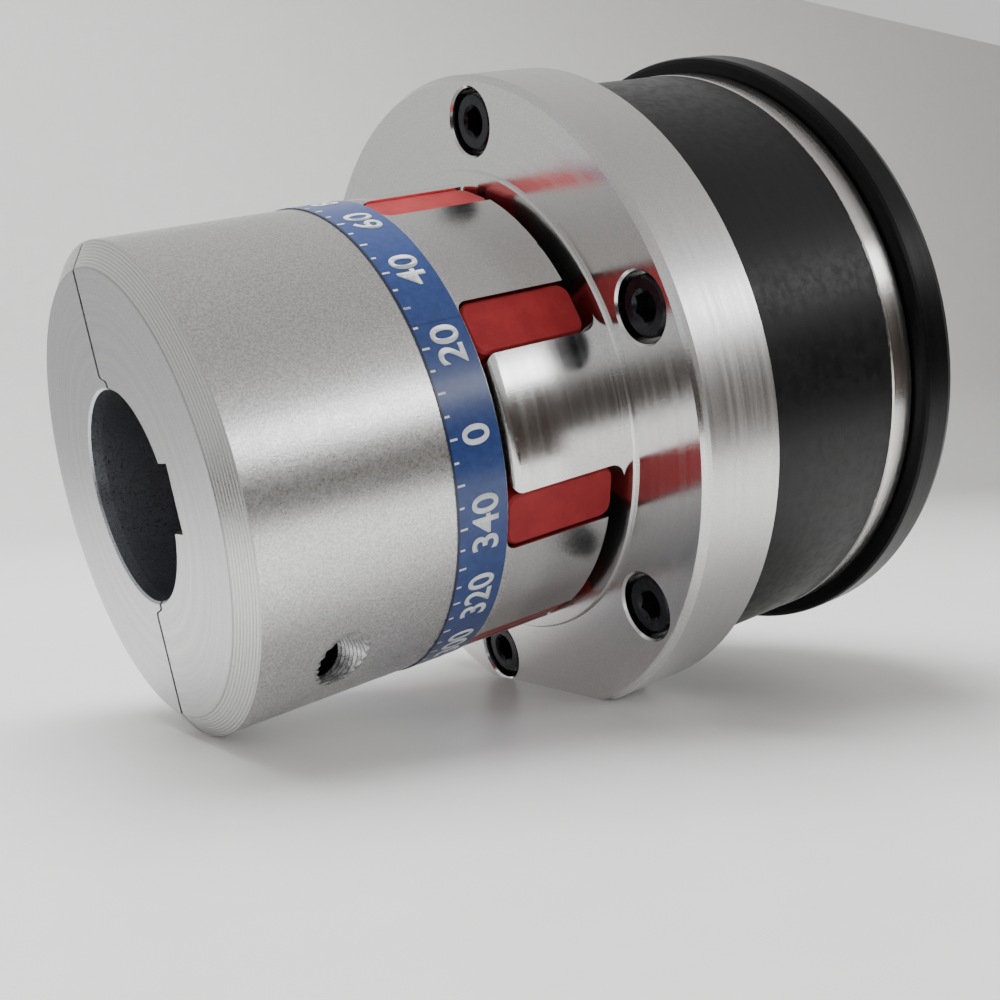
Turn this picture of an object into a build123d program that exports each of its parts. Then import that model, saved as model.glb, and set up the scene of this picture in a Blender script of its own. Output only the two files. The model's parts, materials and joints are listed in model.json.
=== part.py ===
"""Jaw coupling with an overload clutch: split clamp hub, elastomer spider, flanged jaw hub and ball limiter.

Millimetres. The rotation axis is +X, from the clamp hub's outer face at x = 0 to the limiter's rear.
+Z is up. Angles round the axis are counted from the front (-Y) towards the top (+Z).
"""
from build123d import *
import os
from math import radians, tan

# ---- driving dimensions -------------------------------------------------------------------------
HUB_R = 52.5                 # outside radius of the jaws and of the clamp hub
HUB_LENGTH = 58.0            # clamp hub, outer face to jaw pocket floor
HUB_CHAMFER = (3.3, 5.2)     # along the axis, along the radius
BORE_R = 22.5                # driven shaft, 45 mm
KEY_WIDTH = 14.0
KEY_DEPTH = 3.8              # keyway floor beyond the bore wall
EDGE = 0.5                   # broken edges

SLIT = 1.1                   # wire-cut gap between the hub's two halves
SLIT_Y = 0.5                 # the cut runs this far behind the axis
JOG_Y = -3.0                 # where the cut swings in to meet the bore
CAP_LENGTH = 44.0            # removable half shell
CLAMP_X = 22.0
CLAMP_Z = 38.0
CLAMP_R = 6.0                # M12
CLAMP_SEAT_Y = 20.0          # the heads bear here, behind the cut
CLAMP_CBORE_R = 10.0
CLAMP_BLIND_Y = -26.0        # end of the upper tapped hole; the lower one goes right through

BAND_X = (45.9, 57.8)
BAND_THICKNESS = 0.25

JAWS = 4                     # on each hub
JAW_IN_R = 34.0
JAW_TIP_1 = 85.4             # clamp hub's jaws end here
JAW_TIP_2 = 60.0             # flanged hub's jaws end here
SLOT_WIDTH = 12.2            # between neighbouring jaws, filled by a spider arm
JAW_TIP_ROUND_1 = 0.6
JAW_TIP_ROUND_2 = 2.0
JAW_ROOT_1 = 2.5
JAW_ROOT_2 = 3.5

ARM_WIDTH = 11.6
ARM_X = (58.4, 85.9)
ARM_R = 51.8
ARM_CORNER = 3.0
SPIDER_CORE = (24.5, 33.4)

COLLAR_X = 88.4              # pocket floor of the flanged hub
COLLAR_R = 55.8
FLANGED_BORE_R = 30.0
REAR_RECESS = (52.0, 4.4)     # radius, depth
FLANGE_X = (89.3, 110.4)
FLANGE_R = 76.5
FLANGE_CHAMFER = (1.8, 1.2)
SPIGOT_R = 57.4
SPIGOT_LENGTH = 3.0

SCREWS = 6                   # M8, flange to housing
SCREW_FIRST = 15.0           # degrees
SCREW_CIRCLE_R = 66.3
SCREW_R = 4.0
SCREW_LENGTH = 25.0
CBORE_R = 7.5
CBORE_DEPTH = 9.0

BODY_R = 71.3
BODY_X = (FLANGE_X[1], 151.7)
COVER_X = (151.7, 158.1)
COVER_R = 71.4
COVER_IN_R = 61.5
COVER_SCREW_R = 2.0          # M4
COVER_CIRCLE_R = 67.0

BEARING_X = (113.4, 133.4)   # 75 x 115 x 20
BEARING_IN_R = 37.5
BEARING_OUT_R = 57.5
BEARING_BALL_R = 6.35
BEARING_BALLS = 12
PITCH_R = (BEARING_IN_R + BEARING_OUT_R) / 2

DETENTS = 12                 # torque balls and pockets
DETENT_CIRCLE_R = 54.0
TORQUE_BALL_R = 6.0
TORQUE_BALL_X = 144.6
PLATE_X = (133.5, 141.0)
PLATE_R = (46.0, 62.9)
PIN_R = 2.0
PIN_CIRCLE_R = 60.3
PINS = 3
CARRIER_X = (142.0, 149.4)
CARRIER_R = 61.0

RING_X = (158.6, 168.6)      # rim of the shift ring
RING_R = 75.1
RING_BOSS_R = 60.5
RING_POCKET_R = 62.0         # behind the rim, for the disc springs
SPRINGS = 3
SPRING_THICKNESS = 2.4
SPRING_CUP = 1.3
SLEEVE_R = 44.5              # the shift ring slides on this
THREAD_R = 42.0
NUT_X = (175.1, 187.1)
NUT_R = 58.0
LOCK_SCREW_R = 3.0
LOCK_CIRCLE_R = 50.0
LIMITER_X = (108.5, 198.0)
NECK_R = 38.0
LIMITER_BORE_R = 25.0        # driving shaft, 50 mm
SET_SCREW_R = 4.0            # M8 grub screw
SET_SCREW_X = 193.0
RUN = 0.05                   # running clearance on the radius


# ---- helpers ------------------------------------------------------------------------------------
def turned(*outline):
    """Solid of revolution round X from (x, radius) corners."""
    return revolve(make_face(Polyline(*outline, close=True)), axis=Axis.X)


def ring(x0, x1, inner, outer, edge=0.3):
    """Turned ring with its two outer edges broken."""
    return turned((x0, inner), (x0, outer - edge), (x0 + edge, outer), (x1 - edge, outer),
                  (x1, outer - edge), (x1, inner))


def rod(x0, x1, radius, circle=0.0):
    """Round bar along X, at a distance in front of the axis."""
    return Pos((x0 + x1) / 2, -circle, 0) * Rot(0, 90, 0) * Cylinder(radius, x1 - x0)


def cross_rod(y0, y1, radius, x, z):
    """Round bar along Y."""
    return Pos(x, (y0 + y1) / 2, z) * Rot(90, 0, 0) * Cylinder(radius, y1 - y0)


def mouth(x, radius, circle=0.0, edge=EDGE):
    """Cone that breaks the edge of a hole which opens at x, looking towards -X."""
    cone = Cone(radius + edge + 0.5, radius, edge + 0.5)
    return Pos(x + edge / 2 - 0.25, -circle, 0) * Rot(0, 90, 0) * cone


def turn(shape, degrees):
    """Swing a shape from the front round the axis, towards the top."""
    return Rot(-degrees, 0, 0) * shape


def pattern(shape, count, first=0.0):
    return [turn(shape, first + i * 360 / count) for i in range(count)]


def sector(degrees, centre, x0, x1, reach):
    """Wedge from the axis outward, centred on an angle."""
    half = radians(degrees / 2)
    corners = [(0, 0), (-reach, reach * tan(half)), (-reach, -reach * tan(half))]
    wedge = extrude(Plane.YZ.offset(x0) * make_face(Polyline(*corners, close=True)), x1 - x0)
    return turn(wedge, centre)


def keyway(x0, x1, bore_r):
    """Square groove in the front of a bore."""
    depth = bore_r + KEY_DEPTH
    return Pos((x0 + x1) / 2, -depth / 2, 0) * Box(x1 - x0, depth, KEY_WIDTH)


def socket_screw(radius, length, head_r, head_h, key_size, key_depth):
    """Socket-head cap screw along +X, its seat under the head at x = 0."""
    head = turned((-head_h, 0), (-head_h, head_r - 0.08 * head_h), (-0.92 * head_h, head_r),
                  (0, head_r), (0, 0))
    shank = turned((0, 0), (0, radius), (length - 1, radius), (length, radius - 1), (length, 0))
    hexagon = Plane.YZ.offset(-head_h) * RegularPolygon(key_size / 2, 6, major_radius=False)
    return head + shank - extrude(hexagon, key_depth) - mouth(-head_h, key_size / 2, edge=0.13 * key_size)


def jaws(x_root, x_tip, first, tip_round):
    """Jaws between the spider's arms: flat flanks and rounded tips."""
    low, high = min(x_root, x_tip), max(x_root, x_tip)
    crown = turned((x_root, JAW_IN_R), (x_root, HUB_R), (x_tip, HUB_R), (x_tip, JAW_IN_R))
    slot = Pos((low + high) / 2, -HUB_R, 0) * Box(high - low, 2 * HUB_R, SLOT_WIDTH)
    angle = 360 / JAWS
    teeth = []
    for i in range(JAWS):
        centre = first + i * angle
        tooth = crown & sector(angle / 2, centre, low, high, 2 * HUB_R)
        tooth -= turn(slot, centre - angle / 4)
        tooth -= turn(slot, centre + angle / 4)
        tips = tooth.edges().filter_by(lambda e: abs(e.center().X - x_tip) < 0.01
                                       and (e.geom_type == GeomType.LINE or e.radius > JAW_IN_R + 1))
        teeth.append(fillet(tips, tip_round))
    return teeth


def round_roots(hub, x_root, root):
    """Fillet the corners between the jaw flanks and the pocket floor."""
    corners = hub.edges().filter_by(lambda e: e.geom_type == GeomType.LINE
                                    and abs(e.center().X - x_root) < 0.01
                                    and abs(e.length - (HUB_R - JAW_IN_R)) < 2)
    return hub.fillet(root, corners)


def bearing_groove():
    return Pos(sum(BEARING_X) / 2, 0, 0) * Rot(0, 90, 0) * Torus(PITCH_R, BEARING_BALL_R + RUN)


# ---- clamp hub ----------------------------------------------------------------------------------
def clamp_hub_blank():
    """Both halves of the clamp hub before the wire cut."""
    depth, rise = HUB_CHAMFER
    blank = turned((0, BORE_R + EDGE), (0, HUB_R - rise), (depth, HUB_R), (HUB_LENGTH, HUB_R),
                   (HUB_LENGTH, BORE_R), (EDGE, BORE_R))
    return blank - keyway(0, HUB_LENGTH, BORE_R)


def far_side(gap):
    """Everything behind the wire cut; the cut swings in to the bore through two S bends."""
    edge, jog, top = SLIT_Y + gap, JOG_Y + gap, BORE_R + 3.5
    near = BORE_R + 0.6
    outline = Polyline((edge, top), (edge, 80), (80, 80), (80, -80), (edge, -80), (edge, -top))
    lower = Spline((edge, -top), (jog, -near), tangents=((0, 1), (0, 1)))
    inner = Polyline((jog, -near), (jog, near))
    upper = Spline((jog, near), (edge, top), tangents=((0, 1), (0, 1)))
    return extrude(Plane.YZ * make_face(outline + lower + inner + upper), CAP_LENGTH + gap)


def clamp_screw_cuts():
    """Counterbores and clearance behind the cut, tapped holes in front of it."""
    cuts = []
    for z in (CLAMP_Z, -CLAMP_Z):
        cuts.append(cross_rod(CLAMP_SEAT_Y, HUB_R, CLAMP_CBORE_R, CLAMP_X, z))
        cuts.append(cross_rod(SLIT_Y, HUB_R, CLAMP_R + 0.75, CLAMP_X, z))
    cuts.append(cross_rod(-HUB_R, SLIT_Y, CLAMP_R, CLAMP_X, -CLAMP_Z))
    cuts.append(cross_rod(CLAMP_BLIND_Y, SLIT_Y, CLAMP_R, CLAMP_X, CLAMP_Z))
    return cuts


def jaw_hub():
    hub = clamp_hub_blank() - far_side(0)
    hub = hub.solids().sort_by(SortBy.VOLUME)[-1]
    for cut in clamp_screw_cuts():
        hub -= cut
    for tooth in jaws(HUB_LENGTH, JAW_TIP_1, 180 / JAWS, JAW_TIP_ROUND_1):
        hub += tooth
    return round_roots(hub, HUB_LENGTH, JAW_ROOT_1)


def hub_cap():
    cap = clamp_hub_blank() & far_side(SLIT)
    cap &= Pos(CAP_LENGTH / 2 - SLIT / 2, 0, 0) * Box(CAP_LENGTH - SLIT, 200, 200)
    for cut in clamp_screw_cuts():
        cap -= cut
    return cap


def clamp_screws():
    """Two M12 screws put in from behind."""
    screw = socket_screw(CLAMP_R - RUN, 40.0, 9.0, 12.0, 10.0, 6.0)
    return [Pos(CLAMP_X, CLAMP_SEAT_Y, z) * Rot(0, 0, -90) * screw for z in (CLAMP_Z, -CLAMP_Z)]


def marking_band():
    x0, x1 = BAND_X
    outer = HUB_R + BAND_THICKNESS
    return turned((x0, HUB_R), (x0, outer), (x1, outer), (x1, HUB_R))


# ---- spider -------------------------------------------------------------------------------------
def spider():
    x0, x1 = ARM_X
    middle = (x0 + x1) / 2
    core = turned((x0 + 3, SPIDER_CORE[0]), (x0 + 3, SPIDER_CORE[1]), (x1 - 3, SPIDER_CORE[1]),
                  (x1 - 3, SPIDER_CORE[0]))
    root = SPIDER_CORE[0] + 3
    arm = Pos(middle, -(root + ARM_R) / 2, 0) * Box(x1 - x0, ARM_R - root, ARM_WIDTH)
    arm = fillet(arm.edges().filter_by(Axis.Y), ARM_CORNER)
    arm = chamfer(arm.faces().sort_by(Axis.Y)[0].edges(), 0.6)
    body = core
    for one in pattern(arm, 2 * JAWS, 180 / JAWS / 2):
        body += one
    return body - rod(x0 - 1, x1 + 1, SPIDER_CORE[0])


# ---- flanged jaw hub and its screws -------------------------------------------------------------
def flanged_hub():
    x0, x1 = FLANGE_X
    depth, rise = FLANGE_CHAMFER
    recess_r, recess_depth = REAR_RECESS
    hub = turned((COLLAR_X, FLANGED_BORE_R), (COLLAR_X, COLLAR_R - 0.4), (COLLAR_X + 0.4, COLLAR_R),
                 (x0, COLLAR_R), (x0, FLANGE_R - rise), (x0 + depth, FLANGE_R), (x1 - EDGE, FLANGE_R),
                 (x1, FLANGE_R - EDGE), (x1, SPIGOT_R), (x1 + SPIGOT_LENGTH - EDGE, SPIGOT_R),
                 (x1 + SPIGOT_LENGTH, SPIGOT_R - EDGE), (x1 + SPIGOT_LENGTH, recess_r),
                 (x1 - recess_depth, recess_r), (x1 - recess_depth, FLANGED_BORE_R))
    for tooth in jaws(COLLAR_X, JAW_TIP_2, 0.0, JAW_TIP_ROUND_2):
        hub += tooth
    hub = round_roots(hub, COLLAR_X, JAW_ROOT_2)
    hole = rod(x0 - 1, x1 + 1, SCREW_R + 0.5, SCREW_CIRCLE_R)
    hole += rod(x0 - 1, x0 + CBORE_DEPTH, CBORE_R, SCREW_CIRCLE_R)
    hole += mouth(x0, CBORE_R, SCREW_CIRCLE_R)
    for one in pattern(hole, SCREWS, SCREW_FIRST):
        hub -= one
    return hub


def flange_screws():
    screw = socket_screw(SCREW_R - RUN, SCREW_LENGTH, 6.5, 8.0, 6.0, 4.0)
    screw = Pos(FLANGE_X[0] + CBORE_DEPTH, -SCREW_CIRCLE_R, 0) * screw
    return pattern(screw, SCREWS, SCREW_FIRST)


# ---- limiter: output side -----------------------------------------------------------------------
def limiter_housing():
    x0, x1 = BODY_X
    step = BEARING_X[1]
    body = turned((x0, BEARING_OUT_R), (x0, BODY_R - EDGE), (x0 + EDGE, BODY_R), (x1 - EDGE, BODY_R),
                  (x1, BODY_R - EDGE), (x1, PLATE_R[1] + RUN), (step, PLATE_R[1] + RUN),
                  (step, BEARING_OUT_R))
    for one in pattern(rod(x0 - 1, x0 + 18, SCREW_R, SCREW_CIRCLE_R), SCREWS, SCREW_FIRST):
        body -= one
    for one in pattern(rod(x1 - 12, x1 + 1, COVER_SCREW_R, COVER_CIRCLE_R), SCREWS):
        body -= one
    for one in pattern(rod(step - 6, step + 1, PIN_R, PIN_CIRCLE_R), PINS, 45.0):
        body -= one
    return body


def cover_ring():
    x0, x1 = COVER_X
    cover = ring(x0, x1, COVER_IN_R, COVER_R, 0.3)
    hole = rod(x0 - 1, x1 + 1, COVER_SCREW_R + 0.2, COVER_CIRCLE_R)
    hole += rod(x1 - 4.2, x1 + 1, 3.8, COVER_CIRCLE_R)
    for one in pattern(hole, SCREWS):
        cover -= one
    return cover


def cover_screws():
    screw = socket_screw(COVER_SCREW_R - RUN, 12.0, 3.5, 4.0, 3.0, 2.0)
    return pattern(Pos(COVER_X[1] - 4.2, -COVER_CIRCLE_R, 0) * Rot(0, 180, 0) * screw, SCREWS)


def detent_plate():
    plate = ring(*PLATE_X, *PLATE_R)
    pocket = Pos(TORQUE_BALL_X, -DETENT_CIRCLE_R, 0) * Sphere(TORQUE_BALL_R + RUN)
    for one in pattern(pocket, DETENTS):
        plate -= one
    for one in pattern(rod(PLATE_X[0] - 1, PLATE_X[1] + 1, PIN_R, PIN_CIRCLE_R), PINS, 45.0):
        plate -= one
    return plate


def detent_pins():
    return pattern(rod(BEARING_X[1] - 5.8, PLATE_X[1] - 0.2, PIN_R - 0.02, PIN_CIRCLE_R), PINS, 45.0)


def bearing_outer_ring():
    return ring(*BEARING_X, PITCH_R + 3.6, BEARING_OUT_R) - bearing_groove()


# ---- limiter: driving side ----------------------------------------------------------------------
def bearing_inner_ring():
    return ring(*BEARING_X, BEARING_IN_R, PITCH_R - 3.6) - bearing_groove()


def bearing_balls():
    ball = Pos(sum(BEARING_X) / 2, -PITCH_R, 0) * Sphere(BEARING_BALL_R)
    return pattern(ball, BEARING_BALLS)


def bearing_cage():
    cage = ring(BEARING_X[0] + 2.5, BEARING_X[1] - 2.5, PITCH_R - 1.8, PITCH_R + 1.8)
    pocket = Pos(sum(BEARING_X) / 2, -PITCH_R, 0) * Sphere(BEARING_BALL_R + RUN)
    for one in pattern(pocket, BEARING_BALLS):
        cage -= one
    return cage


def bearing_circlip():
    clip = ring(BEARING_X[0] - 1.7, BEARING_X[0], 36.0 + RUN, 40.5)
    gap = turn(Pos(BEARING_X[0], -40, 0) * Box(8, 12, 9), 90)
    return clip - gap


def limiter_hub():
    """Base hub: bearing seat, shoulder, ball carrier flange, sleeve, nut thread and neck."""
    x0, x1 = LIMITER_X
    groove = BEARING_X[0] - 1.8
    hub = turned((x0, LIMITER_BORE_R + EDGE), (x0, BEARING_IN_R - 1), (x0 + 1, BEARING_IN_R),
                 (groove, BEARING_IN_R), (groove, 36.0), (BEARING_X[0], 36.0), (BEARING_X[0], BEARING_IN_R),
                 (BEARING_X[1], BEARING_IN_R), (BEARING_X[1], 43.0), (CARRIER_X[0], 43.0),
                 (CARRIER_X[0], CARRIER_R), (CARRIER_X[1], CARRIER_R), (CARRIER_X[1], SLEEVE_R),
                 (RING_X[1] - 6, SLEEVE_R), (RING_X[1] - 6, THREAD_R), (NUT_X[1] + 1, THREAD_R),
                 (NUT_X[1] + 2, NECK_R), (x1 - 1, NECK_R), (x1, NECK_R - 1), (x1, LIMITER_BORE_R + EDGE),
                 (x1 - EDGE, LIMITER_BORE_R), (x0 + EDGE, LIMITER_BORE_R))
    hub -= keyway(x0, x1, LIMITER_BORE_R)
    ball_hole = rod(CARRIER_X[0] - 1, CARRIER_X[1] + 1, TORQUE_BALL_R + RUN, DETENT_CIRCLE_R)
    for one in pattern(ball_hole, DETENTS):
        hub -= one
    return hub - cross_rod(-60, -20, SET_SCREW_R, SET_SCREW_X, 0)


def torque_balls():
    return pattern(Pos(TORQUE_BALL_X, -DETENT_CIRCLE_R, 0) * Sphere(TORQUE_BALL_R), DETENTS)


def shift_ring():
    """Pressure ring with the black switching rim; a pocket at its back holds the disc springs."""
    face = TORQUE_BALL_X + TORQUE_BALL_R + 0.02
    x0, x1 = RING_X
    bore, pocket = SLEEVE_R + RUN, x0 + 2
    return turned((face, bore), (face, RING_BOSS_R), (x0, RING_BOSS_R), (x0, RING_R - 1.2),
                  (x0 + 0.35, RING_R - 0.35), (x0 + 1.2, RING_R), (x1 - 2.4, RING_R),
                  (x1 - 0.7, RING_R - 0.7), (x1, RING_R - 2.4), (x1, RING_POCKET_R), (pocket, RING_POCKET_R),
                  (pocket, bore))


def disc_springs():
    """Cupped discs stacked face to face."""
    thick, cup = SPRING_THICKNESS, SPRING_CUP
    low, high = SLEEVE_R + 0.4, 60.0
    x = RING_X[0] + 2.02
    stack = []
    for i in range(SPRINGS):
        inner, outer = (x, x + cup) if i % 2 == 0 else (x + cup, x)
        stack.append(turned((inner, low), (outer, high), (outer + thick, high), (inner + thick, low)))
        x += thick + cup + 0.02
    return stack


def thrust_washer():
    front = RING_X[0] + 2.04 + SPRINGS * (SPRING_THICKNESS + SPRING_CUP + 0.02)
    return ring(front, NUT_X[0] - 0.02, THREAD_R + 0.1, 60.0)


def adjusting_nut():
    nut = ring(*NUT_X, THREAD_R + RUN, NUT_R, 1.0)
    notch = Pos(sum(NUT_X) / 2 + 2, -NUT_R, 0) * Box(NUT_X[1] - NUT_X[0] - 4, 8, 7)
    for one in pattern(notch, 6):
        nut -= one
    slit = turn(Pos(sum(NUT_X) / 2, -NUT_R, 0) * Box(1.2, 2 * (NUT_R - THREAD_R - 3), 60), 90)
    nut -= slit
    return nut - turn(rod(NUT_X[0] + 2, NUT_X[1] + 1, LOCK_SCREW_R, LOCK_CIRCLE_R), 90)


def nut_lock_screw():
    return turn(rod(NUT_X[0] + 2.5, NUT_X[1] - 0.5, LOCK_SCREW_R - RUN, LOCK_CIRCLE_R), 90)


def hub_set_screw():
    """Grub screw that bears on the driving shaft's key."""
    screw = cross_rod(-37.0, -29.0, SET_SCREW_R - RUN, SET_SCREW_X, 0)
    hexagon = extrude(RegularPolygon(SET_SCREW_R / 2, 6, major_radius=False), -SET_SCREW_R)
    return screw - Pos(SET_SCREW_X, -37.0, 0) * Rot(90, 0, 0) * hexagon


# ---- write every piece --------------------------------------------------------------------------
PIECES = (jaw_hub, hub_cap, clamp_screws, marking_band, spider, flanged_hub, flange_screws, limiter_housing,
          cover_ring, cover_screws, detent_plate, detent_pins, bearing_outer_ring, bearing_inner_ring,
          bearing_balls, bearing_cage, bearing_circlip, limiter_hub, torque_balls, shift_ring, disc_springs,
          thrust_washer, adjusting_nut, nut_lock_screw, hub_set_screw)

os.makedirs("parts", exist_ok=True)
for piece in PIECES:
    shape = piece()
    if isinstance(shape, list):
        shape = Compound(children=shape)
    export_step(shape, f"parts/{piece.__name__}.step")
    print(piece.__name__, len(shape.solids()), round(shape.volume, 1))
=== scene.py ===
"""Looks for the jaw coupling with its overload clutch, in metres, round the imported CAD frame."""
import json
from math import cos, radians, sin

import bpy
from mathutils import Matrix, Vector


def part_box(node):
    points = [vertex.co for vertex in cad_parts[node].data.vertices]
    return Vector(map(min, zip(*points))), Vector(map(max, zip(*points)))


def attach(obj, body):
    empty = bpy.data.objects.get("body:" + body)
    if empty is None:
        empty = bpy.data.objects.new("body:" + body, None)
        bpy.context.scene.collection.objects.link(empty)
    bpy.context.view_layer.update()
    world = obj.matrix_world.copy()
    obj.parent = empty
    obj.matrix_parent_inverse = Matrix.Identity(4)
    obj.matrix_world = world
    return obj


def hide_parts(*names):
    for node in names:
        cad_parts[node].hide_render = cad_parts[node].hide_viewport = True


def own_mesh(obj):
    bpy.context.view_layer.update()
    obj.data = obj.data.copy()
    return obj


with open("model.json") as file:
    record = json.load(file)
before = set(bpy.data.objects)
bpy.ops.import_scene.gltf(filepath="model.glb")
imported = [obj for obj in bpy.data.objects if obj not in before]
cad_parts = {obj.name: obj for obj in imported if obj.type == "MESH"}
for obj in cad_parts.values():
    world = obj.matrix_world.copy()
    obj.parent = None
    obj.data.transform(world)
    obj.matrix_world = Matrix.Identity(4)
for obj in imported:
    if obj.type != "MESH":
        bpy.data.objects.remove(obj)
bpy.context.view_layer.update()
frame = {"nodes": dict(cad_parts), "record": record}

nodes = frame["nodes"]
MM = 0.001


# ---- camera --------------------------------------------------------------------------------------
def place_camera():
    """Close beside the clamp hub, looking down the coupling's length from a little above."""
    look = Vector((0.540, 0.831, -0.134)).normalized()
    up = Vector((0.240, 0.0, 0.971)).normalized()
    right = look.cross(up).normalized()
    up = right.cross(look)
    data = bpy.data.cameras.new("camera")
    data.sensor_fit = "HORIZONTAL"
    data.angle = radians(40.2)
    data.shift_x = -0.020
    data.shift_y = -0.030
    data.clip_start = 0.01
    camera = bpy.data.objects.new("camera", data)
    bpy.context.scene.collection.objects.link(camera)
    camera.matrix_world = Matrix((
        (right.x, up.x, -look.x, -0.0858),
        (right.y, up.y, -look.y, -0.2783),
        (right.z, up.z, -look.z, 0.0271),
        (0, 0, 0, 1)))
    bpy.context.scene.camera = camera


place_camera()


# ---- sizes read from the frame -------------------------------------------------------------------
_, hub_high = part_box("jaw_hub")
band_low, band_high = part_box("marking_band")
_, flange_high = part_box("flanged_hub")
_, body_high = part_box("limiter_housing")
clamp_low, clamp_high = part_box("clamp_screws")
band_middle = (band_low.x + band_high.x) / 2
band_r = band_high.z
hub_r = hub_high.z
flange_r = flange_high.z


# ---- modelling helpers ---------------------------------------------------------------------------
def deselect():
    if bpy.context.object and bpy.context.object.mode != "OBJECT":
        bpy.ops.object.mode_set(mode="OBJECT")
    bpy.ops.object.select_all(action="DESELECT")


def select_only(piece):
    deselect()
    piece.select_set(True)
    bpy.context.view_layer.objects.active = piece


def take(name):
    """Name the primitive just added."""
    piece = bpy.context.object
    piece.name = name
    piece.data.name = name
    return piece


def settle(piece):
    """Leave the piece's object at the origin, with its place in its mesh."""
    select_only(piece)
    bpy.ops.object.transform_apply(location=True, rotation=True, scale=True)


def apply_modifiers(piece):
    select_only(piece)
    for modifier in list(piece.modifiers):
        bpy.ops.object.modifier_apply(modifier=modifier.name)


def join(pieces, name):
    deselect()
    for one in pieces:
        one.select_set(True)
    bpy.context.view_layer.objects.active = pieces[0]
    bpy.ops.object.join()
    return take(name)


def smooth(piece, angle=35):
    select_only(piece)
    bpy.ops.object.shade_smooth_by_angle(angle=radians(angle))


def finish_piece(piece, material, body):
    piece.data.materials.clear()
    piece.data.materials.append(material)
    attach(piece, body)


# ---- shared finish groups ------------------------------------------------------------------------
def new_group(name, inputs, outputs):
    group = bpy.data.node_groups.new(name, "ShaderNodeTree")
    for label, kind, value in inputs:
        socket = group.interface.new_socket(label, in_out="INPUT", socket_type=kind)
        socket.default_value = value
    for label, kind in outputs:
        group.interface.new_socket(label, in_out="OUTPUT", socket_type=kind)
    return group, group.nodes.new("NodeGroupInput"), group.nodes.new("NodeGroupOutput")


def math_node(tree, operation, *values):
    node = tree.nodes.new("ShaderNodeMath")
    node.operation = operation
    for socket, value in zip(node.inputs, values):
        if isinstance(value, (int, float)):
            socket.default_value = value
        else:
            tree.links.new(value, socket)
    return node.outputs[0]


def noise_node(tree, vector, scale, detail=3.0, rough=0.5, dims="3D"):
    node = tree.nodes.new("ShaderNodeTexNoise")
    node.noise_dimensions = dims
    tree.links.new(vector, node.inputs["W" if dims == "1D" else "Vector"])
    if isinstance(scale, (int, float)):
        node.inputs["Scale"].default_value = scale
    else:
        tree.links.new(scale, node.inputs["Scale"])
    node.inputs["Detail"].default_value = detail
    node.inputs["Roughness"].default_value = rough
    return node.outputs[0]


def ramp(tree, value, low, high):
    """0 below low, 1 above high."""
    node = tree.nodes.new("ShaderNodeMapRange")
    node.interpolation_type = "SMOOTHSTEP"
    tree.links.new(value, node.inputs["Value"])
    for label, number in (("From Min", low), ("From Max", high)):
        if isinstance(number, (int, float)):
            node.inputs[label].default_value = number
        else:
            tree.links.new(number, node.inputs[label])
    return node.outputs[0]


def axis_place(tree):
    """Object coordinates: the point, its place along the axis and its distance from it, in mm."""
    point = tree.nodes.new("ShaderNodeTexCoord").outputs["Object"]
    split = tree.nodes.new("ShaderNodeSeparateXYZ")
    tree.links.new(point, split.inputs[0])
    along = math_node(tree, "MULTIPLY", split.outputs[0], 1000.0)
    square = math_node(tree, "ADD", math_node(tree, "POWER", split.outputs[1], 2.0),
                       math_node(tree, "POWER", split.outputs[2], 2.0))
    out = math_node(tree, "MULTIPLY", math_node(tree, "SQRT", square), 1000.0)
    return point, along, out


def turning_marks_group():
    """Fine rings left by the lathe tool: rings on faces, lines round cylinders."""
    tree, given, made = new_group(
        "turning marks",
        [("Spacing", "NodeSocketFloat", 0.35), ("Depth", "NodeSocketFloat", 1.0)],
        [("Height", "NodeSocketFloat"), ("Streak", "NodeSocketFloat")])
    point, along, out = axis_place(tree)
    feed = math_node(tree, "ADD", along, math_node(tree, "MULTIPLY", out, 1.03))
    waver = noise_node(tree, point, 30.0, 1.0)
    feed = math_node(tree, "ADD", feed, math_node(tree, "MULTIPLY", waver, 0.12))
    turns = math_node(tree, "DIVIDE", feed, given.outputs["Spacing"])
    groove = math_node(tree, "PINGPONG", turns, 0.5)
    uneven = noise_node(tree, turns, 0.55, 4.0, 0.7, "1D")
    height = math_node(tree, "ADD", math_node(tree, "MULTIPLY", groove, 0.9),
                       math_node(tree, "MULTIPLY", uneven, 1.1))
    tree.links.new(math_node(tree, "MULTIPLY", height, given.outputs["Depth"]), made.inputs["Height"])
    broad = noise_node(tree, feed, 0.45, 5.0, 0.75, "1D")
    tree.links.new(ramp(tree, broad, 0.35, 0.68), made.inputs["Streak"])
    return tree


def grain_group():
    """Matt mottled grain of etched aluminium or cast plastic."""
    tree, given, made = new_group(
        "mottled grain",
        [("Scale", "NodeSocketFloat", 900.0)],
        [("Height", "NodeSocketFloat"), ("Mottle", "NodeSocketFloat"), ("Patch", "NodeSocketFloat"),
         ("Speck", "NodeSocketFloat")])
    point = tree.nodes.new("ShaderNodeTexCoord").outputs["Object"]
    fine = noise_node(tree, point, given.outputs["Scale"], 4.0, 0.65)
    tree.links.new(fine, made.inputs["Height"])
    tree.links.new(ramp(tree, fine, 0.36, 0.64), made.inputs["Mottle"])
    broad = noise_node(tree, point, math_node(tree, "MULTIPLY", given.outputs["Scale"], 0.24), 4.0, 0.6)
    tree.links.new(ramp(tree, broad, 0.33, 0.7), made.inputs["Patch"])
    spots = noise_node(tree, point, math_node(tree, "MULTIPLY", given.outputs["Scale"], 0.6), 2.0, 0.5)
    tree.links.new(ramp(tree, spots, 0.66, 0.75), made.inputs["Speck"])
    return tree


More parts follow.
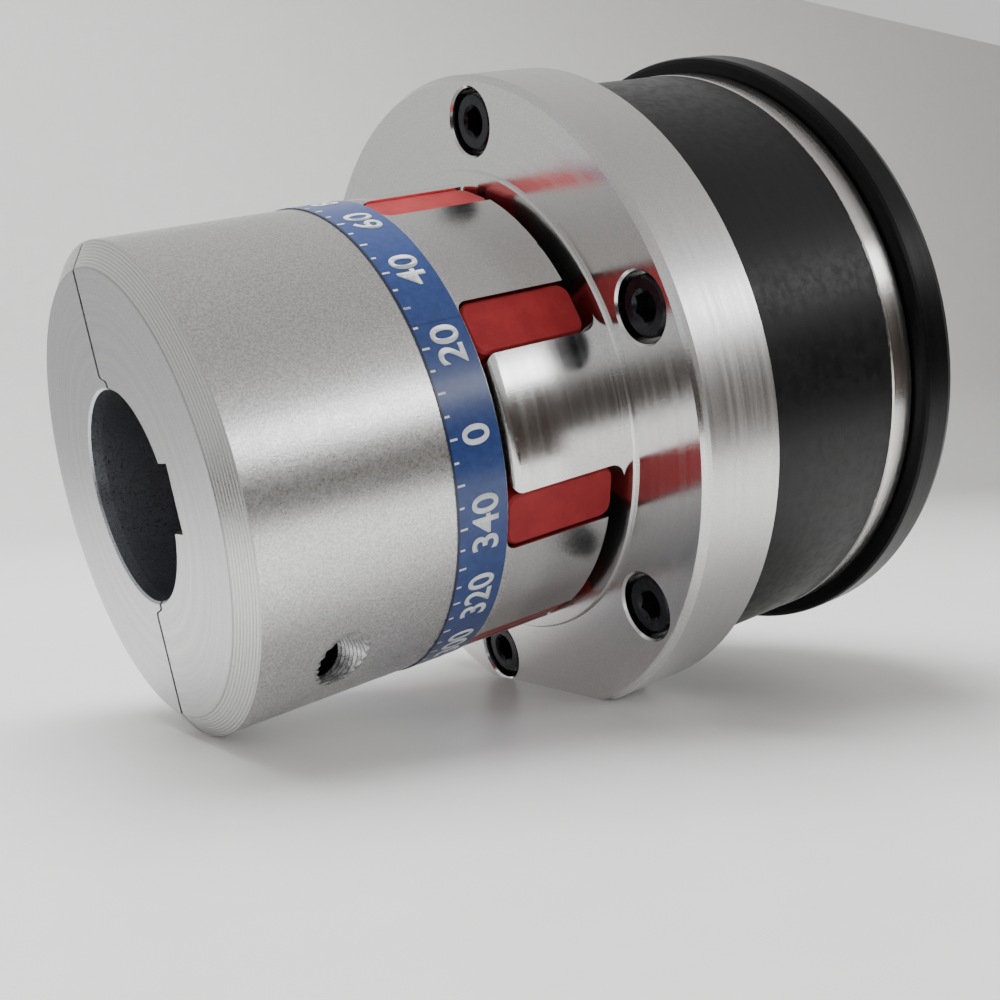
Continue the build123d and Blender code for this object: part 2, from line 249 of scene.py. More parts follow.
def handling_group():
    """Finger smudges and faint dust from handling."""
    tree, given, made = new_group(
        "handling marks",
        [("Scale", "NodeSocketFloat", 22.0), ("Amount", "NodeSocketFloat", 0.5)],
        [("Smudge", "NodeSocketFloat"), ("Dust", "NodeSocketFloat")])
    point = tree.nodes.new("ShaderNodeTexCoord").outputs["Object"]
    cloud = noise_node(tree, point, given.outputs["Scale"], 6.0, 0.62)
    smudge = math_node(tree, "MULTIPLY", ramp(tree, cloud, 0.52, 0.72), given.outputs["Amount"])
    tree.links.new(smudge, made.inputs["Smudge"])
    flecks = noise_node(tree, point, math_node(tree, "MULTIPLY", given.outputs["Scale"], 60.0), 2.0, 0.5)
    dust = math_node(tree, "MULTIPLY", ramp(tree, flecks, 0.68, 0.74), given.outputs["Amount"])
    tree.links.new(dust, made.inputs["Dust"])
    return tree


def scratches_group():
    """Short fine scratches in two directions."""
    tree, given, made = new_group(
        "fine scratches",
        [("Amount", "NodeSocketFloat", 0.5)],
        [("Scratch", "NodeSocketFloat")])
    point = tree.nodes.new("ShaderNodeTexCoord").outputs["Object"]
    total = None
    for turn_deg, stretch in ((28, 1.0), (-63, 1.3)):
        mapping = tree.nodes.new("ShaderNodeMapping")
        mapping.inputs["Rotation"].default_value = (radians(turn_deg), radians(turn_deg * 0.7), 0.4)
        mapping.inputs["Scale"].default_value = (40 * stretch, 40, 2600)
        tree.links.new(point, mapping.inputs["Vector"])
        line = ramp(tree, noise_node(tree, mapping.outputs[0], 1.0, 1.0, 0.4), 0.705, 0.74)
        total = line if total is None else math_node(tree, "MAXIMUM", total, line)
    tree.links.new(math_node(tree, "MULTIPLY", total, given.outputs["Amount"]), made.inputs["Scratch"])
    return tree


TURNING = turning_marks_group()
GRAIN = grain_group()
HANDLING = handling_group()
SCRATCHES = scratches_group()


# ---- material helpers ----------------------------------------------------------------------------
def new_material(name, **values):
    material = bpy.data.materials.new(name)
    material.use_nodes = True
    shader = material.node_tree.nodes["Principled BSDF"]
    for label, value in values.items():
        shader.inputs[label.replace("_", " ")].default_value = value
    return material, material.node_tree, shader


def use(tree, group, **values):
    node = tree.nodes.new("ShaderNodeGroup")
    node.node_tree = group
    for label, value in values.items():
        node.inputs[label].default_value = value
    return node.outputs


def mix_colour(tree, factor, first, second):
    """first where factor is 0, second where it is 1."""
    node = tree.nodes.new("ShaderNodeMix")
    node.data_type = "RGBA"
    if isinstance(factor, (int, float)):
        node.inputs[0].default_value = factor
    else:
        tree.links.new(factor, node.inputs[0])
    for socket, value in ((node.inputs[6], first), (node.inputs[7], second)):
        if isinstance(value, tuple):
            socket.default_value = (*value, 1)
        else:
            tree.links.new(value, socket)
    return node.outputs[2]


def add_bump(tree, shader, layers):
    """Chain bumps of (height, strength, distance) into the shader's normal."""
    normal = None
    for height, strength, distance in layers:
        bump = tree.nodes.new("ShaderNodeBump")
        bump.inputs["Strength"].default_value = strength
        bump.inputs["Distance"].default_value = distance
        tree.links.new(height, bump.inputs["Height"])
        if normal is not None:
            tree.links.new(normal, bump.inputs["Normal"])
        normal = bump.outputs[0]
    tree.links.new(normal, shader.inputs["Normal"])


# ---- materials -----------------------------------------------------------------------------------
# Where the clamp hub's finish, its painted shade and its painted dark reflection change, in mm along the axis
# (X) or from it (R).
CHAMFER_START_R = 47.3
CHAMFER_END_X = 3.3
BORE_WALL_R = 23.1
JAW_START_X, JAW_POLISHED_X = 58.5, 61.0
# The painted dark reflection on the jaws fades in from the first of these places to the second.
JAW_DARK_REFLECTION_X, JAW_TIP_X = 66.0, 82.0
GROOVE_SPACING = 0.58


def hub_aluminium():
    """Satin hub: mottled grain outside, turned end face, grooved chamfer with painted shade in its grooves
    and a painted dark line at its inner edge, the central hole darkened by painted shade, polished jaws with
    a painted dark reflection near their ends.
    """
    material, tree, shader = new_material("satin hub aluminium", Metallic=1.0)
    _, along, out = axis_place(tree)
    grain = use(tree, GRAIN, Scale=2300.0)
    marks = use(tree, TURNING, Spacing=0.42, Depth=1.0)
    hand = use(tree, HANDLING, Scale=26.0, Amount=0.8)
    scratch = use(tree, SCRATCHES, Amount=0.35)
    front = math_node(tree, "SUBTRACT", 1.0, ramp(tree, along, CHAMFER_END_X - 0.05, CHAMFER_END_X + 0.05))
    chamfer = math_node(tree, "MULTIPLY", front, ramp(tree, out, CHAMFER_START_R, CHAMFER_START_R + 0.1))
    inside = math_node(tree, "SUBTRACT", 1.0, ramp(tree, out, BORE_WALL_R - 0.2, BORE_WALL_R + 0.2))
    jaw = ramp(tree, along, JAW_START_X, JAW_POLISHED_X)
    plain = math_node(tree, "SUBTRACT", 1.0, math_node(tree, "MAXIMUM", front, inside))
    grooves = math_node(tree, "PINGPONG", math_node(tree, "DIVIDE", out, GROOVE_SPACING), 0.5)
    grooves = math_node(tree, "MULTIPLY", grooves, 2.0)
    # Painted shade: a thin dark line along the edge where the end face meets the chamfer.
    from_edge = math_node(tree, "ABSOLUTE", math_node(tree, "SUBTRACT", out, CHAMFER_START_R))
    borders = math_node(tree, "SUBTRACT", 1.0, ramp(tree, from_edge, 0.10, 0.28))
    borders = math_node(tree, "MULTIPLY", borders, front)
    skin = mix_colour(tree, grain["Mottle"], (0.60, 0.597, 0.59), (0.88, 0.875, 0.87))
    skin = mix_colour(tree, math_node(tree, "MULTIPLY", grain["Speck"], 0.6), skin, (0.92, 0.92, 0.92))
    skin = mix_colour(tree, math_node(tree, "MULTIPLY", jaw, 0.6), skin, (0.70, 0.695, 0.69))
    face = mix_colour(tree, marks["Streak"], (0.47, 0.48, 0.485), (0.57, 0.575, 0.575))
    face = mix_colour(tree, math_node(tree, "MULTIPLY", grain["Mottle"], 0.5), face, (0.72, 0.72, 0.715))
    # Painted shade in the chamfer's grooves: dark at the groove bottoms and light on the crests, in step with
    # the groove bump.
    groove_painted_shade = mix_colour(tree, grooves, (0.53, 0.53, 0.53), (0.84, 0.835, 0.83))
    base = mix_colour(tree, front, skin, face)
    base = mix_colour(tree, chamfer, base, groove_painted_shade)
    base = mix_colour(tree, math_node(tree, "MULTIPLY", borders, 0.45), base, (0.30, 0.30, 0.30))
    # Painted shade: the wall of the central hole gets a darker, bluish tone, as if shaded inside the hole.
    bore_painted_shade = mix_colour(tree, grain["Mottle"], (0.40, 0.42, 0.46), (0.52, 0.54, 0.58))
    base = mix_colour(tree, inside, base, bore_painted_shade)
    # Painted dark reflection: a soft cloud from the smudge noise darkens the jaws towards their ends,
    # standing in for reflections of the screws.
    jaw_dark_reflection = math_node(tree, "MULTIPLY", ramp(tree, along, JAW_DARK_REFLECTION_X, JAW_TIP_X), 0.35)
    base = mix_colour(tree, math_node(tree, "MULTIPLY", hand["Smudge"], jaw_dark_reflection), base, (0.10, 0.10, 0.105))
    tree.links.new(base, shader.inputs["Base Color"])
    satin = math_node(tree, "ADD", 0.27, math_node(tree, "MULTIPLY", grain["Patch"], 0.03))
    satin = math_node(tree, "SUBTRACT", satin, math_node(tree, "MULTIPLY", jaw, 0.05))
    turned = math_node(tree, "ADD", 0.27, math_node(tree, "MULTIPLY", grain["Mottle"], 0.08))
    rough = math_node(tree, "ADD", math_node(tree, "MULTIPLY", satin, plain),
                      math_node(tree, "MULTIPLY", turned, math_node(tree, "SUBTRACT", 1.0, plain)))
    tree.links.new(rough, shader.inputs["Roughness"])
    rings = math_node(tree, "MULTIPLY", marks["Height"], front)
    add_bump(tree, shader, [(math_node(tree, "MULTIPLY", grooves, chamfer), 1.0, 0.00012),
                            (rings, 0.6, 0.00006), (grain["Height"], 0.60, 0.00004),
                            (scratch["Scratch"], 0.10, 0.00003)])
    return material


def flange_aluminium():
    """Bright turned flange and jaws: mirror-like, with fine tool rings."""
    material, tree, shader = new_material("bright turned aluminium", Metallic=1.0)
    _, _, out = axis_place(tree)
    marks = use(tree, TURNING, Spacing=0.28, Depth=1.0)
    grain = use(tree, GRAIN, Scale=2600.0)
    hand = use(tree, HANDLING, Scale=30.0, Amount=0.6)
    scratch = use(tree, SCRATCHES, Amount=0.3)
    base = mix_colour(tree, grain["Mottle"], (0.70, 0.695, 0.69), (0.84, 0.835, 0.83))
    base = mix_colour(tree, math_node(tree, "MULTIPLY", marks["Streak"], 0.4), base, (0.74, 0.735, 0.73))
    base = mix_colour(tree, math_node(tree, "MULTIPLY", hand["Smudge"], 0.3), base, (0.55, 0.55, 0.55))
    tree.links.new(base, shader.inputs["Base Color"])
    rim = ramp(tree, out, 75.6, 76.2)
    rough = math_node(tree, "ADD", 0.15, math_node(tree, "MULTIPLY", marks["Streak"], 0.06))
    rough = math_node(tree, "ADD", rough, math_node(tree, "MULTIPLY", rim, 0.14))
    rough = math_node(tree, "ADD", rough, math_node(tree, "MULTIPLY", hand["Smudge"], 0.07))
    tree.links.new(rough, shader.inputs["Roughness"])
    deeper = math_node(tree, "ADD", 0.3, math_node(tree, "MULTIPLY", rim, 0.5))
    add_bump(tree, shader, [(math_node(tree, "MULTIPLY", marks["Height"], deeper), 0.26, 0.00004),
                            (grain["Height"], 0.2, 0.00004), (scratch["Scratch"], 0.12, 0.00004)])
    return material


def black_body():
    """Satin black finish of the clutch body, scuffed through at its rear edge."""
    material, tree, shader = new_material("satin black body", Specular_IOR_Level=0.28)
    point, along, out = axis_place(tree)
    grain = use(tree, GRAIN, Scale=1900.0)
    marks = use(tree, TURNING, Spacing=0.5, Depth=1.0)
    hand = use(tree, HANDLING, Scale=24.0, Amount=0.7)
    scratch = use(tree, SCRATCHES, Amount=0.25)
    edge = body_high.x * 1000
    chips = noise_node(tree, point, 260.0, 5.0, 0.75)
    depth = math_node(tree, "MULTIPLY", ramp(tree, chips, 0.5, 0.8), 1.1)
    reach = math_node(tree, "SUBTRACT", edge - 0.05, depth)
    worn = math_node(tree, "GREATER_THAN", along, reach)
    worn = math_node(tree, "MULTIPLY", worn, ramp(tree, out, 70.4, 70.9))
    base = mix_colour(tree, marks["Streak"], (0.0045, 0.0047, 0.0049), (0.0065, 0.0066, 0.0068))
    base = mix_colour(tree, math_node(tree, "MULTIPLY", hand["Smudge"], 0.5), base, (0.011, 0.0105, 0.010))
    base = mix_colour(tree, math_node(tree, "MULTIPLY", scratch["Scratch"], 0.12), base, (0.10, 0.098, 0.095))
    base = mix_colour(tree, worn, base, (0.62, 0.61, 0.59))
    tree.links.new(base, shader.inputs["Base Color"])
    tree.links.new(worn, shader.inputs["Metallic"])
    rough = math_node(tree, "ADD", 0.34, math_node(tree, "MULTIPLY", grain["Patch"], 0.10))
    rough = math_node(tree, "ADD", rough, math_node(tree, "MULTIPLY", hand["Smudge"], 0.08))
    tree.links.new(rough, shader.inputs["Roughness"])
    add_bump(tree, shader, [(marks["Height"], 0.16, 0.00004), (grain["Height"], 0.14, 0.00004)])
    return material


def black_ring():
    """Satin black shift ring, finer than the body, with a little dust."""
    material, tree, shader = new_material("satin black ring", Specular_IOR_Level=0.17)
    grain = use(tree, GRAIN, Scale=2200.0)
    marks = use(tree, TURNING, Spacing=0.36, Depth=1.0)
    hand = use(tree, HANDLING, Scale=34.0, Amount=0.8)
    base = mix_colour(tree, grain["Patch"], (0.0018, 0.0019, 0.0022), (0.0030, 0.0031, 0.0034))
    base = mix_colour(tree, math_node(tree, "MULTIPLY", hand["Dust"], 0.25), base, (0.12, 0.12, 0.12))
    base = mix_colour(tree, math_node(tree, "MULTIPLY", hand["Smudge"], 0.4), base, (0.006, 0.006, 0.0065))
    tree.links.new(base, shader.inputs["Base Color"])
    rough = math_node(tree, "ADD", 0.30, math_node(tree, "MULTIPLY", marks["Streak"], 0.12))
    tree.links.new(rough, shader.inputs["Roughness"])
    add_bump(tree, shader, [(marks["Height"], 0.3, 0.00005), (grain["Height"], 0.12, 0.00004)])
    return material


def red_elastomer():
    """Cast red polyurethane: semi-gloss skin, faint orange peel, darker in the flow marks."""
    material, tree, shader = new_material("red polyurethane", Specular_IOR_Level=0.26,
                                          Subsurface_Weight=0.04, Subsurface_Scale=0.002)
    grain = use(tree, GRAIN, Scale=700.0)
    hand = use(tree, HANDLING, Scale=40.0, Amount=0.7)
    base = mix_colour(tree, grain["Patch"], (0.29, 0.016, 0.020), (0.37, 0.026, 0.029))
    base = mix_colour(tree, math_node(tree, "MULTIPLY", hand["Dust"], 0.15), base, (0.62, 0.40, 0.38))
    tree.links.new(base, shader.inputs["Base Color"])
    rough = math_node(tree, "ADD", 0.40, math_node(tree, "MULTIPLY", hand["Smudge"], 0.16))
    tree.links.new(rough, shader.inputs["Roughness"])
    add_bump(tree, shader, [(grain["Height"], 0.15, 0.00012)])
    return material


def blue_film():
    """Blue printed label film with a faint weave of print dots and scuffed borders."""
    material, tree, shader = new_material("blue label film", Coat_Weight=0.3, Coat_Roughness=0.18)
    _, along, _ = axis_place(tree)
    grain = use(tree, GRAIN, Scale=2600.0)
    hand = use(tree, HANDLING, Scale=60.0, Amount=0.5)
    base = mix_colour(tree, grain["Patch"], (0.020, 0.048, 0.180), (0.028, 0.064, 0.225))
    start = band_low.x * 1000
    border = math_node(tree, "SUBTRACT", 1.0, ramp(tree, along, start + 0.38, start + 0.46))
    base = mix_colour(tree, border, base, (0.012, 0.022, 0.06))
    base = mix_colour(tree, math_node(tree, "MULTIPLY", hand["Dust"], 0.35), base, (0.45, 0.5, 0.6))
    tree.links.new(base, shader.inputs["Base Color"])
    rough = math_node(tree, "ADD", 0.30, math_node(tree, "MULTIPLY", hand["Smudge"], 0.2))
    tree.links.new(rough, shader.inputs["Roughness"])
    add_bump(tree, shader, [(grain["Height"], 0.08, 0.00004)])
    return material


def white_ink():
    material, tree, shader = new_material("white print")
    grain = use(tree, GRAIN, Scale=2400.0)
    hand = use(tree, HANDLING, Scale=90.0, Amount=0.6)
    base = mix_colour(tree, grain["Patch"], (0.72, 0.76, 0.80), (0.84, 0.86, 0.88))
    base = mix_colour(tree, math_node(tree, "MULTIPLY", hand["Smudge"], 0.3), base, (0.50, 0.55, 0.62))
    tree.links.new(base, shader.inputs["Base Color"])
    tree.links.new(math_node(tree, "ADD", 0.35, math_node(tree, "MULTIPLY", grain["Patch"], 0.12)),
                   shader.inputs["Roughness"])
    add_bump(tree, shader, [(grain["Height"], 0.08, 0.00003)])
    return material


def cut_thread():
    """Freshly cut thread flanks: shiny, with chatter and torn crests."""
    material, tree, shader = new_material("cut thread", Metallic=1.0)
    grain = use(tree, GRAIN, Scale=3200.0)
    scratch = use(tree, SCRATCHES, Amount=0.8)
    base = mix_colour(tree, grain["Patch"], (0.42, 0.42, 0.43), (0.80, 0.80, 0.80))
    tree.links.new(base, shader.inputs["Base Color"])
    tree.links.new(math_node(tree, "ADD", 0.12, math_node(tree, "MULTIPLY", grain["Patch"], 0.12)),
                   shader.inputs["Roughness"])
    add_bump(tree, shader, [(grain["Height"], 0.5, 0.00009), (scratch["Scratch"], 0.3, 0.00004)])
    return material


def oxide_steel():
    """Black-oxide screws: near black, with oil sheen and lighter specks."""
    material, tree, shader = new_material("black oxide steel", Metallic=0.55)
    grain = use(tree, GRAIN, Scale=2600.0)
    hand = use(tree, HANDLING, Scale=120.0, Amount=0.8)
    base = mix_colour(tree, grain["Patch"], (0.010, 0.011, 0.015), (0.022, 0.024, 0.030))
    base = mix_colour(tree, math_node(tree, "MULTIPLY", grain["Speck"], 0.35), base, (0.12, 0.125, 0.14))
    tree.links.new(base, shader.inputs["Base Color"])
    rough = math_node(tree, "ADD", 0.27, math_node(tree, "MULTIPLY", hand["Smudge"], 0.22))
    tree.links.new(rough, shader.inputs["Roughness"])
    add_bump(tree, shader, [(grain["Height"], 0.2, 0.00005)])
    return material


def machined_steel(name, dark, light, spacing, rough_low, rough_high):
    """Turned or ground steel in one tone, with tool rings and handling marks."""
    material, tree, shader = new_material(name, Metallic=1.0)
    marks = use(tree, TURNING, Spacing=spacing, Depth=1.0)
    hand = use(tree, HANDLING, Scale=36.0, Amount=0.6)
    scratch = use(tree, SCRATCHES, Amount=0.5)
    base = mix_colour(tree, marks["Streak"], dark, light)
    base = mix_colour(tree, math_node(tree, "MULTIPLY", hand["Smudge"], 0.4), base,
                      tuple(0.7 * value for value in dark))
    tree.links.new(base, shader.inputs["Base Color"])
    rough = math_node(tree, "MULTIPLY", marks["Streak"], rough_high - rough_low)
    rough = math_node(tree, "ADD", rough_low, rough)
    rough = math_node(tree, "ADD", rough, math_node(tree, "MULTIPLY", hand["Smudge"], 0.06))
    tree.links.new(rough, shader.inputs["Roughness"])
    add_bump(tree, shader, [(marks["Height"], 0.35, 0.00005), (scratch["Scratch"], 0.15, 0.00004)])
    return material


FINISH = {
    "hub_aluminium": hub_aluminium(),
    "flange_aluminium": flange_aluminium(),
    "black_body": black_body(),
    "black_ring": black_ring(),
    "red_elastomer": red_elastomer(),
    "blue_band": blue_film(),
    "black_steel": oxide_steel(),
    "bright_steel": machined_steel(
        "bright cover ring", (0.74, 0.72, 0.70), (0.80, 0.785, 0.77), 0.25, 0.17, 0.24),
    "bearing_steel": machined_steel(
        "ground bearing steel", (0.60, 0.60, 0.61), (0.74, 0.74, 0.75), 0.22, 0.10, 0.17),
    "cage_steel": machined_steel(
        "pressed cage steel", (0.42, 0.38, 0.30), (0.54, 0.50, 0.42), 0.60, 0.26, 0.36),
    "spring_steel": machined_steel(
        "phosphated spring steel", (0.06, 0.06, 0.065), (0.12, 0.12, 0.13), 0.45, 0.34, 0.46),
    "hub_steel": machined_steel(
        "turned hub steel", (0.42, 0.42, 0.42), (0.60, 0.60, 0.60), 0.38, 0.24, 0.36),
}
PRINT = white_ink()
CUT_THREAD = cut_thread()

for entry in frame["record"]["subparts"]:
    node = nodes[entry["node"]]
    node.data.materials.clear()
    node.data.materials.append(FINISH[entry["material_slot"]])


# ---- dial numbers and ticks on the blue band -----------------------------------------------------
NUMBER_X = band_middle + 0.9 * MM
NUMBER_STEP = 20                    # degrees
NUMBER_SIZE = 8.6 * MM
PRINT_THICKNESS = 0.04 * MM
TICK_RISE = (band_high.x - band_low.x) / 2 - 0.5 * MM
TICK_STEP, LONG_TICK_STEP = 5, 10   # degrees
TICK_LENGTH, LONG_TICK_LENGTH = 1.1 * MM, 1.7 * MM
TICK_WIDTH = 0.45 * MM


def wrap_on_band(piece, centre_deg, x_middle, lift):
    """Bend a flat mesh in the XY plane round the band: its +X runs up the front, its +Y points to -X."""
    radius = band_r + lift
    for vertex in piece.data.vertices:
        run, rise, thick = vertex.co
        angle = radians(centre_deg) + run / radius
        r = radius + thick
        vertex.co = (x_middle - rise, -r * cos(angle), r * sin(angle))


def dial_number(text, centre_deg):
    """One number in a bold plain face, cut fine enough to follow the curve."""
    deselect()
    bpy.ops.object.text_add(location=(0, 0, 0))
    label = bpy.context.object
    label.data.body = text
    label.data.size = NUMBER_SIZE
    label.data.align_x = "CENTER"
    label.data.align_y = "CENTER"
    label.data.offset = 0.16 * MM
    label.data.resolution_u = 6
    bpy.ops.object.convert(target="MESH")
    piece = take("dial_" + text)
    bpy.ops.object.mode_set(mode="EDIT")
    bpy.ops.mesh.select_all(action="SELECT")
    bpy.ops.mesh.dissolve_limited(angle_limit=radians(0.5))
    for cut in range(-14, 15):
        bpy.ops.mesh.select_all(action="SELECT")
        bpy.ops.mesh.bisect(plane_co=(cut * 0.7 * MM, 0, 0), plane_no=(1, 0, 0))
    bpy.ops.mesh.select_all(action="SELECT")
    bpy.ops.mesh.extrude_region_move(TRANSFORM_OT_translate={"value": (0, 0, PRINT_THICKNESS)})
    bpy.ops.mesh.select_all(action="SELECT")
    bpy.ops.mesh.remove_doubles(threshold=1e-7)
    bpy.ops.mesh.normals_make_consistent(inside=False)
    bpy.ops.object.mode_set(mode="OBJECT")
    wrap_on_band(piece, centre_deg, NUMBER_X, 0.02 * MM)
    return piece


def dial_tick(centre_deg, length):
    deselect()
    bpy.ops.mesh.primitive_cube_add(size=1, location=(0, TICK_RISE - length / 2, 0.03 * MM),
                                    scale=(TICK_WIDTH, length, PRINT_THICKNESS))
    piece = take("tick")
    settle(piece)
    bpy.ops.object.mode_set(mode="EDIT")
    bpy.ops.mesh.select_all(action="SELECT")
    bpy.ops.mesh.bevel(offset=0.015 * MM, segments=1)
    bpy.ops.object.mode_set(mode="OBJECT")
    wrap_on_band(piece, centre_deg, band_middle, 0)
    return piece


marks = [dial_number(str(degree), degree) for degree in range(0, 360, NUMBER_STEP)]
for degree in range(0, 360, TICK_STEP):
    marks.append(dial_tick(degree, TICK_LENGTH if degree % LONG_TICK_STEP else LONG_TICK_LENGTH))
dial = join(marks, "dial_marks")
finish_piece(dial, PRINT, "clamp_hub")


# ---- lap joint of the band -----------------------------------------------------------------------
LAP_DEG = 29.5
LAP_LENGTH = 7 * MM


def band_lap():
    """Short second layer where the film overlaps itself."""
    deselect()
    width = band_high.x - band_low.x
    bpy.ops.mesh.primitive_grid_add(x_subdivisions=16, y_subdivisions=2, size=1)
    piece = take("band_lap")
    piece.scale = (LAP_LENGTH, width * 0.995, 1)
    settle(piece)
    bpy.ops.object.mode_set(mode="EDIT")
    bpy.ops.mesh.select_all(action="SELECT")
    bpy.ops.mesh.extrude_region_move(TRANSFORM_OT_translate={"value": (0, 0, 0.10 * MM)})
    bpy.ops.mesh.select_all(action="SELECT")
    bpy.ops.mesh.normals_make_consistent(inside=False)
    bpy.ops.object.mode_set(mode="OBJECT")
    wrap_on_band(piece, LAP_DEG, band_middle, -0.05 * MM)
    return piece


finish_piece(band_lap(), FINISH["blue_band"], "clamp_hub")


# ---- thread in the clamp screw's through hole ----------------------------------------------------
CLAMP_HEAD_R = 9.0 * MM
CLAMP_Z = clamp_high.z - CLAMP_HEAD_R


def clamp_thread():
    """M12 thread standing in the hole's wall, trimmed flush with the hub's outside."""
    pitch, major, minor = 1.75 * MM, 6.03 * MM, 5.12 * MM
    x, z = (clamp_low.x + clamp_high.x) / 2, -CLAMP_Z
    inner_y, outer_y = -21.0 * MM, -44.0 * MM
    deselect()
    bpy.ops.mesh.primitive_plane_add(size=1)
    piece = take("clamp_thread")
    corners = ((major, 0.02), (minor, 0.42), (major, 0.98), (minor, 0.58))
    for vertex, (radius, share) in zip(piece.data.vertices, corners):
        vertex.co = (radius, 0, share * pitch)
    screw = piece.modifiers.new("helix", "SCREW")
    screw.axis = "Z"
    screw.steps = screw.render_steps = 48
    screw.screw_offset = pitch
    screw.iterations = int((inner_y - outer_y) / pitch)
    screw.use_merge_vertices = False
    apply_modifiers(piece)
    piece.data.transform(Matrix.Rotation(radians(90), 4, "X"))
    piece.data.transform(Matrix.Translation((x, inner_y, z)))
    deselect()
    bpy.ops.mesh.primitive_cylinder_add(vertices=256, radius=hub_r - 0.02 * MM, depth=80 * MM,
                                        rotation=(0, radians(90), 0), location=(x, 0, 0))
    trimmer = take("trimmer")
    settle(trimmer)
    cut = piece.modifiers.new("trim", "BOOLEAN")
    cut.operation = "INTERSECT"
    cut.object = trimmer
    apply_modifiers(piece)
    bpy.data.objects.remove(trimmer)
    return piece


thread = clamp_thread()
finish_piece(thread, CUT_THREAD, "clamp_hub")
smooth(thread, 30)


# ---- disc springs --------------------------------------------------------------------------------
def spring_stack():
    """The cupped discs with rounded rims, carried with the shift ring."""
    select_only(nodes["disc_springs"])
    bpy.ops.object.duplicate()
    piece = take("spring_stack")
    bpy.ops.object.mode_set(mode="EDIT")
    bpy.ops.mesh.select_all(action="SELECT")
    bpy.ops.mesh.remove_doubles(threshold=1e-6)
    bpy.ops.mesh.dissolve_limited(angle_limit=radians(1.0))
    bpy.ops.object.mode_set(mode="OBJECT")
    rim = piece.modifiers.new("rim", "BEVEL")
    rim.width = 0.25 * MM
    rim.segments = 2
    rim.limit_method = "ANGLE"
    rim.angle_limit = radians(40)
    apply_modifiers(piece)
    smooth(piece)
    return piece


springs = spring_stack()
finish_piece(springs, FINISH["spring_steel"], "shift_ring")
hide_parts("disc_springs")
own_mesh(springs)


# ---- room and light ------------------------------------------------------------------------------
# Tone of the room at each elevation in degrees, in front of the coupling and behind it.
FRONT_TONES = ((-90, (0.50, 0.50, 0.50)), (-32, (0.20, 0.16, 0.14)), (-12, (0.045, 0.034, 0.028)),
               (4, (0.075, 0.060, 0.050)), (9, (0.85, 0.85, 0.85)), (24, (0.72, 0.72, 0.72)),
               (40, (0.50, 0.48, 0.465)), (60, (0.48, 0.46, 0.445)), (90, (0.62, 0.62, 0.62)))
BACK_TONES = ((-90, (0.55, 0.55, 0.55)), (0, (0.66, 0.66, 0.65)), (20, (0.78, 0.78, 0.77)),
              (50, (0.62, 0.61, 0.60)), (90, (0.60, 0.60, 0.60)))
COUPLING_MIDDLE = Vector((0.09, 0, 0))
LIGHT_DISTANCE = 0.9


def pale_floor():
    """Tilted board that carries the clamp hub's edge and the flange's rear edge, swept up into walls."""
    touch_hub = Vector((3.3 * MM, 0, -hub_r))
    touch_flange = Vector((flange_high.x - 1 * MM, 0, -flange_r))
    slope = (touch_flange - touch_hub).normalized()
    up = Vector((-slope.z, 0, slope.x))
    base = touch_hub - up * 0.0003
    far, sweep, wall = 0.80, 0.16, 0.62
    bend = [(far + sweep * sin(radians(a)), sweep * (1 - cos(radians(a)))) for a in range(0, 91, 10)]
    profile = [(0.0, 0.0), (0.3, 0.0)] + bend + [(far + sweep, wall)]
    columns = [-0.10, 0.02, 0.2, 0.6, 1.1, 1.6]
    fronts = [-0.112, -0.20, -0.21, -0.21, -0.21, -0.21]
    deselect()
    bpy.ops.mesh.primitive_grid_add(x_subdivisions=len(columns) - 1, y_subdivisions=len(profile), size=1)
    piece = take("floor")
    for vertex in piece.data.vertices:
        column = round((vertex.co.x + 0.5) * (len(columns) - 1))
        row = round((vertex.co.y + 0.5) * len(profile))
        back, rise = profile[row - 1] if row else (fronts[column], 0.0)
        vertex.co = base + slope * columns[column] + Vector((0, back, 0)) + up * rise
    bpy.ops.object.shade_smooth()
    material, tree, shader = new_material("pale floor", Roughness=0.38)
    grain = use(tree, GRAIN, Scale=300.0)
    tone = mix_colour(tree, grain["Patch"], (0.85, 0.85, 0.84), (0.87, 0.87, 0.86))
    tree.links.new(tone, shader.inputs["Base Color"])
    piece.data.materials.clear()
    piece.data.materials.append(material)


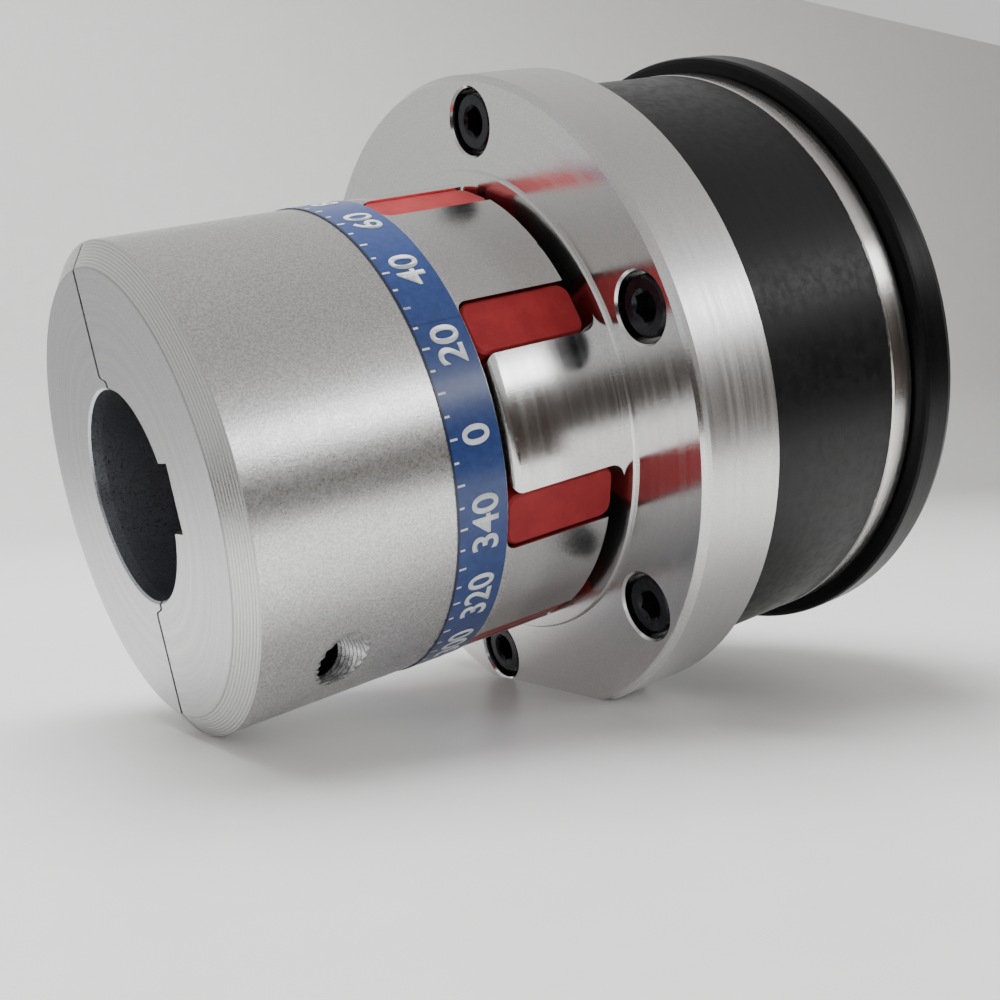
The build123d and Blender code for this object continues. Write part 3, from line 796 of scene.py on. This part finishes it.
def soft_light(name, azimuth, elevation, size, power):
    """Soft panel that faces the coupling from that direction, counted from +X towards +Y."""
    a, e = radians(azimuth), radians(elevation)
    way = Vector((cos(a) * cos(e), sin(a) * cos(e), sin(e)))
    data = bpy.data.lights.new(name, "AREA")
    data.shape = "RECTANGLE"
    data.size, data.size_y = size
    data.energy = power
    light = bpy.data.objects.new(name, data)
    bpy.context.scene.collection.objects.link(light)
    light.location = COUPLING_MIDDLE + way * LIGHT_DISTANCE
    light.rotation_mode = "QUATERNION"
    light.rotation_quaternion = (-way).to_track_quat("-Z", "Y")
    light.visible_camera = False
    return light


def room():
    """Pale room: bright at the back, a darker, warmer zone low in front, a soft dark ceiling."""
    world = bpy.data.worlds.new("room")
    world.use_nodes = True
    tree = world.node_tree
    tree.nodes.clear()
    output = tree.nodes.new("ShaderNodeOutputWorld")
    way = tree.nodes.new("ShaderNodeTexCoord").outputs["Generated"]
    split = tree.nodes.new("ShaderNodeSeparateXYZ")
    tree.links.new(way, split.inputs[0])
    height = math_node(tree, "ADD", math_node(tree, "MULTIPLY", split.outputs[2], 0.5), 0.5)
    tones = []
    for stops in (FRONT_TONES, BACK_TONES):
        node = tree.nodes.new("ShaderNodeValToRGB")
        band = node.color_ramp.elements
        for element, (_, colour) in zip(band, (stops[0], stops[-1])):
            element.color = (*colour, 1)
        for elevation, colour in stops[1:-1]:
            band.new(0.5 + 0.5 * sin(radians(elevation))).color = (*colour, 1)
        tree.links.new(height, node.inputs[0])
        tones.append(node.outputs[0])
    behind = ramp(tree, split.outputs[1], -0.15, 0.45)
    colour = mix_colour(tree, behind, tones[0], tones[1])
    lit = tree.nodes.new("ShaderNodeBackground")
    tree.links.new(colour, lit.inputs["Color"])
    plain = tree.nodes.new("ShaderNodeBackground")
    plain.inputs["Color"].default_value = (0.74, 0.74, 0.73, 1)
    direct = tree.nodes.new("ShaderNodeLightPath").outputs["Is Camera Ray"]
    both = tree.nodes.new("ShaderNodeMixShader")
    tree.links.new(direct, both.inputs[0])
    tree.links.new(lit.outputs[0], both.inputs[1])
    tree.links.new(plain.outputs[0], both.inputs[2])
    tree.links.new(both.outputs[0], output.inputs["Surface"])
    bpy.context.scene.world = world


pale_floor()
room()
soft_light("window strip", -57, 14, (0.70, 0.15), 1.7)
soft_light("overhead", 60, 72, (0.7, 0.7), 18.0).visible_glossy = False
